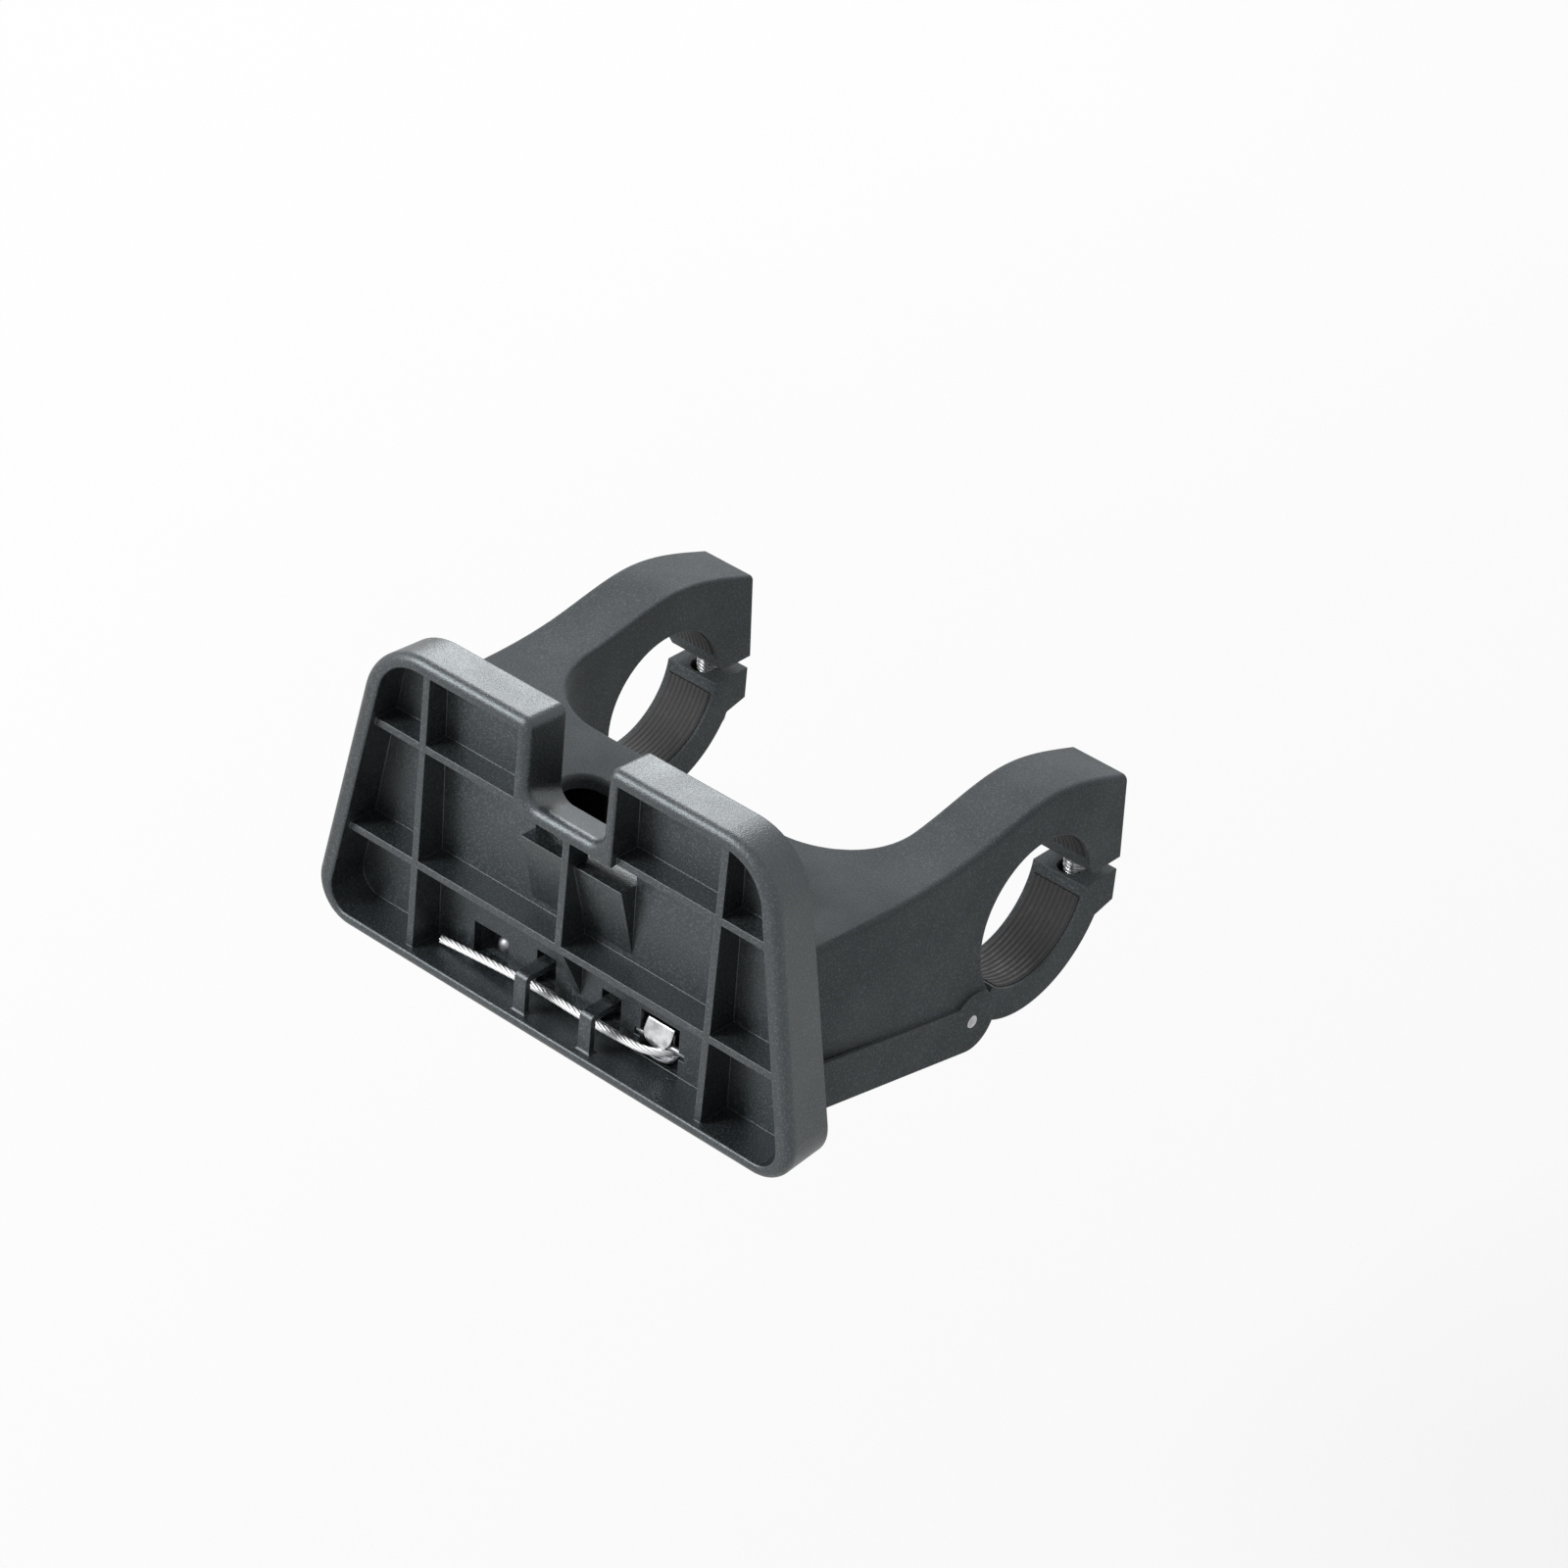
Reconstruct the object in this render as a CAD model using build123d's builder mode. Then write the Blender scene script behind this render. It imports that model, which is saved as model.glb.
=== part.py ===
from build123d import *
import os
from math import asin, atan, atan2, cos, degrees, hypot, pi, radians, sin, sqrt, tan

os.makedirs("parts", exist_ok=True)

# The frame: the origin is the centre of the clamped tube, X runs along the tube,
# the bag plate faces -Y and +Z is up. All sizes are in millimetres.

# Clamped tube and how far the plate stands from it
bar_d = 31.8
bar_clearance = 0.2
reach = 64.2
plate_drop = 23.1

# Bag plate outline
plate_h = 65.8
plate_w_low = 123.0
plate_w_top = 97.6
corner_r_low = 8.0
corner_r_top = 14.0
plate_t_low = 11.1
plate_t_top = 9.8
plate_draft_deg = 3.0
rim_round = 1.8
rim_inner_round = 0.5

# Recess, its floor and its ribs
rim_side = 3.3
rim_low = 2.3
rim_top = 2.5
recess_r_low = 4.7
recess_r_top = 9.7
floor_t_low = 1.9
floor_t_top = 3.4
rib_t = 1.55
rib_setback = 1.8
rib_x = 36.9
rib_low_h = 21.1
rib_top_h = 46.8
gusset_low_h = 6.4

# Notch in the plate's top edge, its floor rising towards the front
notch_w = 19.2
notch_rear_h = 45.7
notch_front_h = 49.6
notch_r = 3.5
notch_lip_r = 2.0
notch_wall = 2.7
notch_underside_h = 46.0

# Latch wedges under the notch
wedge_half_w = 12.6
wedge_low_h = 23.3
wedge_top_h = 39.0
wedge_depth = 6.8
wedge_gap_h = 5.4
wedge_gap_depth = 0.8

# Cable hooks on the plate's lower wall
hook_x = 8.3
hook_w = 2.9
hook_t = 1.3
hook_h = 10.8
hook_depth = 9.2
hook_round = 1.2
hook_foot_r = 0.7

# Windows in the recess floor: left end, right end, low and high edges
ball_window = (-27.0, -18.1, 2.9, 10.0)
hook_window_w = 4.9
hook_window_low_h = 4.4
hook_window_top_h = 12.0
clip_window = (15.6, 25.3, 2.4, 12.8)
hook_window_depth = 2.5

# Yoke behind the plate
yoke_half_w = 54.2
yoke_front_half_w = 52.7
yoke_taper_l = 27.0
yoke_top_z = 21.2
yoke_low_z = -13.9
crest_y = 1.5
crest_z = 25.6
rise_y = -36.0
rear_top_y = 24.0
rear_top_z = 20.2
rear_foot_y = 25.4
foot_z = 1.0
crease_round = 1.2
strip_h = 10.3
strip_proud = 0.8
cutout_half_w = 40.5
cutout_front_y = -40.5
cutout_r = 18.0
cutout_round = 0.8

# Hollow box behind the plate
box_half_w = 32.0
box_wall = 2.6
skin_t = 2.8
front_wall_t = 6.5
thin_front_t = 1.4
upper_hollow_low_h = 14.5
thumb_hole_half_w = 14.7
thumb_hole_r = 5.8
thumb_hole_front = 1.4
thumb_hole_back = 11.5
thumb_hole_round = 1.1
inner_rib_x = 10.5
inner_rib_t = 4.0
inner_rib_depth = 5.0

# Clamp hinge
pin_y = -17.0
pin_z = -16.6
pin_d = 3.0
pin_running = 0.06
nose_r = 6.5
ear_w = 4.5
knuckle_side_gap = 0.3
knuckle_r = 5.7
slot_gap = 0.8
jaw_gap = 0.5
jaw_side_gap = 0.4
jaw_t = 6.5
jaw_start_deg = 230.0
knuckle_start_deg = 224.0
knuckle_end_deg = 242.0

# Clamp bolt, washer and square nut
bolt_y = 21.0
bolt_d = 5.0
bolt_hole_d = 5.4
bolt_l = 25.0
bolt_head_d = 8.5
bolt_head_h = 5.0
bolt_socket_af = 4.0
bolt_socket_depth = 2.6
bolt_hole_spare = 1.2
washer_d = 10.0
washer_hole_d = 5.3
washer_t = 1.0
nut_side = 8.0
nut_t = 4.0
nut_low_z = 7.0
nut_play = 0.1
nut_running = 0.06
lug_top_z = -2.0
lug_t = 7.0
lug_slot_extra = 1.6
spot_face_r = 6.0
lead_in_h = 2.4
lead_in_w = 1.5

# Rubber liners
liner_t = 1.2
liner_edge = 1.3
liner_end_gap_deg = 0.5
upper_liner_start_deg = 18.0
upper_liner_end_deg = 172.0
lower_liner_start_deg = 240.0
lower_liner_end_deg = 344.0

# Steel cable, its ball and its clip
cable_d = 1.6
cable_hole_d = 2.4
cable_turn_r = 9.0
ball_d = 4.0
ball_x = -21.8
ball_h = 5.3
ball_pocket_depth = 3.8
cable_return_x = 24.4
cable_loop_y = -21.5
cable_front_depth = 4.3
clip_w = 6.5
clip_x = 19.25
clip_t = 0.5
clip_lobe_r = 3.2
clip_lip_r = 2.0
clip_pin_d = 1.4
clip_pin_h = 7.0
clip_pin_depth = 1.0
clip_pin_end = 1.4

# Derived places
half_bar = bar_d / 2
bore_r = half_bar + bar_clearance
arm_x = (cutout_half_w + yoke_half_w) / 2
arm_w = yoke_half_w - cutout_half_w
side_lean = (plate_w_low - plate_w_top) / 2 / plate_h
side_angle = atan(side_lean)


def depth_at(low, top, height):
    """Forward distance from the plate's rear face, for a wall that leans from low to top."""
    return low + (top - low) * height / plate_h


def yz(depth, height):
    """Side-view place of a point of the plate, from its depth and its height."""
    return (-reach - depth, -plate_drop + height)


def leaning_plane(low, top):
    """Plane in the plate that leans from one depth at its foot to another at its head."""
    return Plane(
        origin=(0, -reach - low, -plate_drop),
        x_dir=(1, 0, 0),
        z_dir=(0, -plate_h, low - top),
    )


def polar(radius, angle, centre=(0.0, 0.0)):
    """Side-view point at an angle in degrees, measured from +Y towards +Z."""
    return (centre[0] + radius * cos(radians(angle)), centre[1] + radius * sin(radians(angle)))


def arc(radius, start, end):
    """Arc about the tube's centre in the open sketch line, between two angles."""
    return ThreePointArc(polar(radius, start), polar(radius, (start + end) / 2), polar(radius, end))


def ring_sector(inner_r, outer_r, start, end):
    """Lines of a ring sector in the open sketch line, from one angle to another."""
    outer = arc(outer_r, start, end)
    inner = arc(inner_r, start, end)
    Line(outer @ 0, inner @ 0)
    Line(outer @ 1, inner @ 1)


plate_rear = Plane(origin=(0, -reach, -plate_drop), x_dir=(1, 0, 0), z_dir=(0, -1, 0))
front_plane = leaning_plane(plate_t_low, plate_t_top)
rib_plane = leaning_plane(plate_t_low - rib_setback, plate_t_top - rib_setback)
floor_plane = leaning_plane(floor_t_low, floor_t_top)


def on_front(face):
    """Whether a face lies in the plate's leaning front plane."""
    return abs(front_plane.to_local_coords(face.center()).Z) < 0.01 and face.geom_type == GeomType.PLANE


# Recess: the open space in front of the plate's floor
with BuildPart() as recess_form:
    inset = rim_side / cos(side_angle)
    low_half = plate_w_low / 2 - side_lean * rim_low - inset
    top_half = plate_w_low / 2 - side_lean * (plate_h - rim_top) - inset
    with BuildSketch(plate_rear):
        with BuildLine():
            Polyline(
                (-low_half, rim_low),
                (low_half, rim_low),
                (top_half, plate_h - rim_top),
                (-top_half, plate_h - rim_top),
                close=True,
            )
        make_face()
        fillet(vertices().group_by(Axis.Y)[0], recess_r_low)
        fillet(vertices().group_by(Axis.Y)[-1], recess_r_top)
        with Locations((0, plate_h)):
            Rectangle(
                notch_w + 2 * notch_wall,
                2 * (plate_h - notch_underside_h),
                mode=Mode.SUBTRACT,
            )
    extrude(amount=plate_t_low + 1)
    split(bisect_by=floor_plane, keep=Keep.TOP)

# Plate: a drafted trapezoid, thinner at its top, with the notch, the rim and the recess
with BuildPart() as plate_form:
    with BuildSketch(plate_rear):
        with BuildLine():
            Polyline(
                (-plate_w_low / 2, 0),
                (plate_w_low / 2, 0),
                (plate_w_top / 2, plate_h),
                (-plate_w_top / 2, plate_h),
                close=True,
            )
        make_face()
        fillet(vertices().group_by(Axis.Y)[0], corner_r_low)
        fillet(vertices().group_by(Axis.Y)[-1], corner_r_top)
    extrude(amount=plate_t_low + 1, taper=-plate_draft_deg)
    split(bisect_by=front_plane, keep=Keep.BOTTOM)
    notch_rise = (notch_front_h - notch_rear_h) / (plate_t_low - 1)
    with BuildSketch(plate_rear):
        with Locations((0, plate_h)):
            RectangleRounded(notch_w, 2 * (plate_h - notch_rear_h), notch_r)
    notch_run = plate_t_low * sqrt(1 + notch_rise**2)
    extrude(amount=notch_run, dir=(0, -1, notch_rise), mode=Mode.SUBTRACT)
    notch_lips = edges().filter_by(lambda e: abs(abs(e.center().X) - notch_w / 2) < 0.01)
    fillet(notch_lips.filter_by(lambda e: e.center().Z > plate_h - plate_drop - 0.1), notch_lip_r)
    fillet(faces().filter_by(on_front).edges(), rim_round)
    add(recess_form.part, mode=Mode.SUBTRACT)
    fillet(faces().filter_by(on_front).sort_by(SortBy.AREA)[-1].inner_wires().edges(), rim_inner_round)

# Ribs that divide the recess
with BuildPart() as rib_form:
    with BuildSketch(plate_rear):
        with Locations((-rib_x, plate_h / 2), (rib_x, plate_h / 2)):
            Rectangle(rib_t, plate_h)
        with Locations((0, (rib_low_h + notch_underside_h) / 2)):
            Rectangle(rib_t, notch_underside_h - rib_low_h)
        with Locations((0, rib_low_h), (0, rib_top_h)):
            Rectangle(plate_w_low, rib_t)
    extrude(amount=plate_t_low + 1)
    split(bisect_by=rib_plane, keep=Keep.BOTTOM)
    add(recess_form.part, mode=Mode.INTERSECT)

# Side outline of the yoke, worked out from the tube and the hinge pin
relief = (pin_y**2 + pin_z**2 - (bore_r + nose_r) ** 2) / 2 / (bore_r + nose_r + pin_y)
relief_r = bore_r + relief
touch_deg = 180 + degrees(atan2(-pin_z, relief - pin_y))
touch = polar(relief_r, touch_deg, (relief, 0))
to_pin = hypot(reach + pin_y, yoke_low_z - pin_z)
low_slope = atan2(pin_z - yoke_low_z, pin_y + reach) - asin(nose_r / to_pin)
low_l = sqrt(to_pin**2 - nose_r**2)
low_touch = (-reach + low_l * cos(low_slope), yoke_low_z + low_l * sin(low_slope))
nose_in_deg = touch_deg - 180
nose_out_deg = degrees(low_slope) - 90
lip = (sqrt(bore_r**2 - (foot_z + lead_in_h) ** 2), foot_z + lead_in_h)

# Yoke: one side outline through the whole width, cut out between the arms
with BuildPart() as yoke_form:
    with BuildSketch(Plane.YZ):
        with BuildLine():
            Line((-reach, yoke_top_z), (rise_y, yoke_top_z))
            Spline(
                (rise_y, yoke_top_z),
                (rise_y / 2, (yoke_top_z + crest_z) / 2 - 0.8),
                (crest_y, crest_z),
                (rear_top_y, rear_top_z),
                tangents=((1, 0), (1, -0.34)),
            )
            Polyline(
                (rear_top_y, rear_top_z),
                (rear_foot_y, foot_z),
                (lip[0] + lead_in_w, foot_z),
                lip,
            )
            ThreePointArc(lip, (0, bore_r), (-bore_r, 0))
            ThreePointArc((-bore_r, 0), polar(relief_r, (180 + touch_deg) / 2, (relief, 0)), touch)
            ThreePointArc(
                touch,
                polar(nose_r, (nose_in_deg + nose_out_deg) / 2, (pin_y, pin_z)),
                low_touch,
            )
            Polyline(low_touch, (-reach, yoke_low_z), (-reach, yoke_top_z))
        make_face()
    extrude(amount=yoke_half_w, both=True)
    with BuildSketch(Plane.XY.offset(-2 * plate_drop)):
        with BuildLine():
            side_taper = yoke_half_w - yoke_front_half_w
            ThreePointArc(
                (yoke_half_w, -reach + yoke_taper_l),
                (yoke_half_w - side_taper / 4, -reach + yoke_taper_l / 2),
                (yoke_front_half_w, -reach),
            )
            Polyline(
                (yoke_front_half_w, -reach),
                (yoke_half_w + 1, -reach),
                (yoke_half_w + 1, -reach + yoke_taper_l),
                (yoke_half_w, -reach + yoke_taper_l),
            )
        make_face()
        mirror(about=Plane.YZ)
    extrude(amount=4 * plate_drop, mode=Mode.SUBTRACT)
    outer_top = edges().filter_by(lambda e: abs(e.center().X) > yoke_front_half_w - 0.5)
    fillet(outer_top.filter_by(lambda e: e.center().Z > rear_top_z), crease_round)
    with BuildSketch(Plane.XY.offset(-2 * plate_drop)):
        with Locations((0, cutout_front_y + reach)):
            RectangleRounded(2 * cutout_half_w, 2 * reach, cutout_r)
    extrude(amount=4 * plate_drop, mode=Mode.SUBTRACT)
    inner_top = edges().filter_by(lambda e: abs(e.center().X) < cutout_half_w + 0.5)
    inner_top = inner_top.filter_by(lambda e: e.center().Z > yoke_top_z - 0.5)
    fillet(inner_top.filter_by(lambda e: e.center().Y > -reach + 1), cutout_round)

# Mount body: the plate, the yoke and the clamp's upper halves as one moulding
with BuildPart() as mount_body:
    add(plate_form.part)
    add(yoke_form.part)
    with Locations((0, -reach, -plate_drop)):
        Box(
            2 * box_half_w,
            reach + cutout_front_y,
            plate_drop + yoke_top_z - 1,
            align=(Align.CENTER, Align.MIN, Align.MIN),
        )
    for side in (-1, 1):
        with BuildSketch(Plane.YZ.offset(side * yoke_half_w)):
            with BuildLine():
                band = strip_h / cos(low_slope)
                strip_end_z = yoke_low_z + band + (pin_y + reach) * tan(low_slope)
                Polyline(
                    (-reach, yoke_low_z),
                    low_touch,
                    (pin_y, pin_z),
                    (pin_y, strip_end_z),
                    (-reach, yoke_low_z + band),
                    close=True,
                )
            make_face()
            with Locations((pin_y, pin_z)):
                Circle(nose_r)
        extrude(amount=side * strip_proud)
    add(rib_form.part)
    with BuildSketch(Plane.YZ):
        with BuildLine():
            Polyline(
                yz(depth_at(plate_t_low, plate_t_top, rib_low_h) - rib_setback, rib_low_h),
                yz(floor_t_low - 0.5, gusset_low_h),
                yz(floor_t_low - 0.5, rib_low_h),
                close=True,
            )
        make_face()
    extrude(amount=rib_t / 2, both=True)
    with BuildSketch(Plane.YZ):
        with BuildLine():
            Polyline(
                yz(depth_at(floor_t_low, floor_t_top, wedge_low_h), wedge_low_h),
                yz(wedge_depth, wedge_top_h),
                yz(0.5, wedge_top_h),
                yz(0.5, wedge_low_h),
                close=True,
            )
        make_face()
    extrude(amount=wedge_half_w, both=True)
    for hook_place in (-hook_x, hook_x):
        with BuildSketch(Plane.YZ.offset(hook_place - hook_w / 2)):
            with BuildLine():
                Polyline(
                    yz(hook_depth, rim_low - 0.5),
                    yz(hook_depth, hook_h),
                    yz(1.0, hook_h),
                    yz(1.0, hook_h - hook_t),
                    yz(hook_depth - hook_t, hook_h - hook_t),
                    yz(hook_depth - hook_t, rim_low - 0.5),
                    close=True,
                )
            make_face()
            fillet(vertices().group_by(Axis.Y)[-1].sort_by(Axis.X)[0], hook_round)
        extrude(amount=hook_w)
        foot = edges().filter_by(lambda e: abs(e.center().Z + plate_drop - rim_low) < 0.01)
        foot = foot.filter_by(lambda e: abs(e.center().X - hook_place) < hook_w / 2 + 0.01)
        fillet(foot.filter_by(lambda e: e.length < hook_w + 0.01), hook_foot_r)

    # Hollow behind the floor, thin-walled above and thicker where the cable is held
    hollow_back_y = cutout_front_y - box_wall
    hollow_half_w = box_half_w - box_wall
    hollow_top_h = plate_drop + yoke_top_z - skin_t
    with BuildSketch(Plane.YZ):
        with BuildLine():
            Polyline(
                yz(-thin_front_t, hollow_top_h),
                yz(-thin_front_t, upper_hollow_low_h),
                yz(-front_wall_t, upper_hollow_low_h),
                yz(-front_wall_t, rim_low),
                (hollow_back_y, -plate_drop + rim_low),
                (hollow_back_y, -plate_drop + hollow_top_h),
                close=True,
            )
        make_face()
    extrude(amount=hollow_half_w, both=True, mode=Mode.SUBTRACT)
    for rib_place in (-inner_rib_x, inner_rib_x):
        with Locations((rib_place, hollow_back_y + 0.5, -plate_drop + upper_hollow_low_h)):
            Box(
                inner_rib_t,
                inner_rib_depth + 0.5,
                hollow_top_h - upper_hollow_low_h + 0.5,
                align=(Align.CENTER, Align.MAX, Align.MIN),
            )

    # Thumb hole through the skin behind the notch, with a rounded lip
    hole_l = thumb_hole_back - thumb_hole_front
    with BuildSketch(Plane.XY.offset(yoke_top_z + 1)):
        with Locations((0, -reach + thumb_hole_front + hole_l / 2)):
            RectangleRounded(2 * thumb_hole_half_w, hole_l, min(thumb_hole_r, hole_l / 2 - 0.05))
    extrude(amount=-(skin_t + 2), mode=Mode.SUBTRACT)
    lip_edges = edges().filter_by(lambda e: abs(e.center().Z - yoke_top_z) < 0.01)
    lip_edges = lip_edges.filter_by(lambda e: abs(e.center().X) < thumb_hole_half_w + 0.1)
    lip_edges = lip_edges.filter_by(lambda e: 0.1 < e.center().Y + reach < thumb_hole_back + 0.1)
    fillet(lip_edges, thumb_hole_round)

    # Opening above the latch wedges, through into the hollow and shallower above it
    for gap_top_h, gap_depth in (
        (hollow_top_h, -thin_front_t - 0.1),
        (wedge_top_h + wedge_gap_h, wedge_gap_depth),
    ):
        with Locations((0, -reach - gap_depth, -plate_drop + wedge_top_h)):
            Box(
                2 * wedge_half_w,
                depth_at(floor_t_low, floor_t_top, wedge_top_h) + 0.3 - gap_depth,
                gap_top_h - wedge_top_h,
                align=(Align.CENTER, Align.MAX, Align.MIN),
                mode=Mode.SUBTRACT,
            )

    # Windows behind the hooks, the ball's pocket and the clip's window
    deepest_floor = depth_at(floor_t_low, floor_t_top, clip_window[3]) + 0.1
    windows = [(*ball_window, ball_pocket_depth), (*clip_window, front_wall_t + 0.1)]
    pin_low_h = clip_pin_h - clip_pin_d / 2 - 0.1
    pin_top_h = clip_pin_h + clip_pin_d / 2 + 0.1
    pin_seat = clip_pin_d / 2 - clip_pin_depth
    for left, right in (
        (clip_window[0] - clip_pin_end, clip_window[0]),
        (clip_window[1], clip_window[1] + clip_pin_end),
    ):
        windows.append((left, right, pin_low_h, pin_top_h, pin_seat))
    for hook_place in (-hook_x, hook_x):
        half_window = hook_window_w / 2
        windows.append(
            (
                hook_place - half_window,
                hook_place + half_window,
                hook_window_low_h,
                hook_window_top_h,
                hook_window_depth,
            )
        )
    for left, right, low_h, top_h, depth in windows:
        with Locations(((left + right) / 2, -reach + depth, -plate_drop + low_h)):
            Box(
                right - left,
                depth + deepest_floor,
                top_h - low_h,
                align=(Align.CENTER, Align.MAX, Align.MIN),
                mode=Mode.SUBTRACT,
            )
    for hook_place in (-hook_x, hook_x):
        with Locations((hook_place, -reach - 1.0, -plate_drop + hook_h)):
            Box(
                hook_w,
                4.0,
                hook_t,
                align=(Align.CENTER, Align.CENTER, Align.MAX),
            )

    # Holes that the cable runs through
    with BuildSketch(Plane.XZ.offset(reach - ball_pocket_depth + 0.5)):
        with Locations((ball_x, -plate_drop + ball_h), (cable_return_x, -plate_drop + ball_h)):
            Circle(cable_hole_d / 2)
    extrude(amount=-(reach + cutout_front_y), mode=Mode.SUBTRACT)

    # Slots for the jaws' knuckles, pin holes, bolt holes, nut slots and liner seats
    for side in (-1, 1):
        centre_x = side * arm_x
        knuckle_slot_w = arm_w - 2 * ear_w
        with BuildSketch(Plane.YZ.offset(centre_x - knuckle_slot_w / 2)):
            with Locations((pin_y, pin_z)):
                Circle(nose_r + slot_gap)
        extrude(amount=knuckle_slot_w, mode=Mode.SUBTRACT)
        with BuildSketch(Plane.YZ.offset(centre_x - arm_w)):
            with Locations((pin_y, pin_z)):
                Circle(pin_d / 2)
        extrude(amount=2 * arm_w, mode=Mode.SUBTRACT)
        with BuildSketch(Plane.XY.offset(foot_z - 1)):
            with Locations((centre_x, bolt_y)):
                Circle(bolt_hole_d / 2)
        bolt_hole_top_z = lug_top_z - lug_t - washer_t + bolt_l + bolt_hole_spare
        extrude(amount=bolt_hole_top_z - foot_z + 1, mode=Mode.SUBTRACT)
        with Locations((centre_x, bolt_y - nut_side / 2 - nut_play, nut_low_z - nut_play)):
            Box(
                nut_side + 2 * nut_play,
                rear_foot_y - bolt_y + nut_side,
                nut_t + 2 * nut_play,
                align=(Align.CENTER, Align.MIN, Align.MIN),
                mode=Mode.SUBTRACT,
            )
        with BuildSketch(Plane.YZ.offset(centre_x - arm_w / 2 + liner_edge)):
            with BuildLine():
                ring_sector(
                    half_bar,
                    half_bar + liner_t,
                    upper_liner_start_deg - liner_end_gap_deg,
                    upper_liner_end_deg + liner_end_gap_deg,
                )
            make_face()
        extrude(amount=arm_w - 2 * liner_edge, mode=Mode.SUBTRACT)
mount_body.part.label = "mount_body"
export_step(mount_body.part, "parts/mount_body.step")

jaw_w = arm_w - 2 * jaw_side_gap
lug_low_z = lug_top_z - lug_t
jaw_r = bore_r + jaw_t
lug_end_deg = degrees(atan2(lug_top_z, sqrt(bore_r**2 - lug_top_z**2))) + 360

for side, name in ((-1, "left"), (1, "right")):
    centre_x = side * arm_x

    # Lower jaw: a crescent under the tube, a knuckle on the pin and a bolt lug behind
    with BuildPart() as jaw:
        with BuildSketch(Plane.YZ.offset(centre_x - jaw_w / 2)):
            with BuildLine():
                ring_sector(bore_r, jaw_r, jaw_start_deg, lug_end_deg)
            make_face()
            with BuildLine():
                Polyline(
                    (bore_r - 3, lug_top_z),
                    (rear_foot_y, lug_top_z),
                    (rear_foot_y, lug_low_z),
                    (bore_r - 3, lug_low_z - 3),
                    close=True,
                )
            make_face()
            Circle(bore_r, mode=Mode.SUBTRACT)
            with Locations((pin_y, pin_z)):
                Circle(nose_r + jaw_gap, mode=Mode.SUBTRACT)
        extrude(amount=jaw_w)
        with BuildSketch(Plane.XY.offset(lug_low_z)):
            with Locations((centre_x, bolt_y)):
                Circle(spot_face_r)
        extrude(amount=-2 * jaw_r, mode=Mode.SUBTRACT)
        knuckle_w = arm_w - 2 * ear_w - 2 * knuckle_side_gap
        with BuildSketch(Plane.YZ.offset(centre_x - knuckle_w / 2)):
            with BuildLine():
                ring_sector(bore_r + 0.4, jaw_r, knuckle_start_deg, knuckle_end_deg)
            make_face()
            with Locations((pin_y, pin_z)):
                Circle(knuckle_r)
                Circle(pin_d / 2 + pin_running, mode=Mode.SUBTRACT)
        extrude(amount=knuckle_w)
        with BuildSketch(Plane.XY.offset(lug_low_z - 1)):
            with Locations((centre_x, bolt_y - lug_slot_extra / 2)):
                SlotOverall(bolt_hole_d + lug_slot_extra, bolt_hole_d, rotation=90)
        extrude(amount=lug_t + 2, mode=Mode.SUBTRACT)
        with BuildSketch(Plane.YZ.offset(centre_x - arm_w / 2 + liner_edge)):
            with BuildLine():
                ring_sector(
                    half_bar,
                    half_bar + liner_t,
                    lower_liner_start_deg - liner_end_gap_deg,
                    lower_liner_end_deg + liner_end_gap_deg,
                )
            make_face()
        extrude(amount=arm_w - 2 * liner_edge, mode=Mode.SUBTRACT)
    jaw.part.label = name + "_clamp_jaw"
    export_step(jaw.part, "parts/" + name + "_clamp_jaw.step")

    # Hinge pin, pressed through both ears and turning in the knuckle
    with BuildPart() as pin:
        with BuildSketch(Plane.YZ.offset(centre_x - side * (arm_w / 2 - jaw_side_gap))):
            with Locations((pin_y, pin_z)):
                Circle(pin_d / 2)
        extrude(amount=side * (arm_w - jaw_side_gap + strip_proud))
        chamfer(edges().filter_by(GeomType.CIRCLE), 0.25)
    pin.part.label = name + "_hinge_pin"
    export_step(pin.part, "parts/" + name + "_hinge_pin.step")

    # Clamp bolt with a socket head below the jaw's lug
    head_top_z = lug_low_z - washer_t
    with BuildPart() as bolt:
        with BuildSketch(Plane.XY.offset(head_top_z)):
            with Locations((centre_x, bolt_y)):
                Circle(bolt_d / 2)
        extrude(amount=bolt_l)
        chamfer(edges().sort_by(Axis.Z)[-1], 0.5)
        with BuildSketch(Plane.XY.offset(head_top_z)):
            with Locations((centre_x, bolt_y)):
                Circle(bolt_head_d / 2)
        extrude(amount=-bolt_head_h)
        chamfer(edges().group_by(Axis.Z)[0], 0.4)
        with BuildSketch(Plane.XY.offset(head_top_z - bolt_head_h)):
            with Locations((centre_x, bolt_y)):
                RegularPolygon(bolt_socket_af / 2, 6, major_radius=False)
        extrude(amount=bolt_socket_depth, mode=Mode.SUBTRACT)
    bolt.part.label = name + "_clamp_bolt"
    export_step(bolt.part, "parts/" + name + "_clamp_bolt.step")

    # Washer between the bolt's head and the lug
    with BuildPart() as washer:
        with BuildSketch(Plane.XY.offset(head_top_z)):
            with Locations((centre_x, bolt_y)):
                Circle(washer_d / 2)
                Circle(washer_hole_d / 2, mode=Mode.SUBTRACT)
        extrude(amount=washer_t)
    washer.part.label = name + "_bolt_washer"
    export_step(washer.part, "parts/" + name + "_bolt_washer.step")

    # Square nut held in the slot above the foot
    with BuildPart() as nut:
        with BuildSketch(Plane.XY.offset(nut_low_z)):
            with Locations((centre_x, bolt_y)):
                Rectangle(nut_side, nut_side)
                Circle(bolt_d / 2 + nut_running, mode=Mode.SUBTRACT)
        extrude(amount=nut_t)
        chamfer(edges().filter_by(GeomType.CIRCLE), 0.4)
    nut.part.label = name + "_square_nut"
    export_step(nut.part, "parts/" + name + "_square_nut.step")

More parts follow.
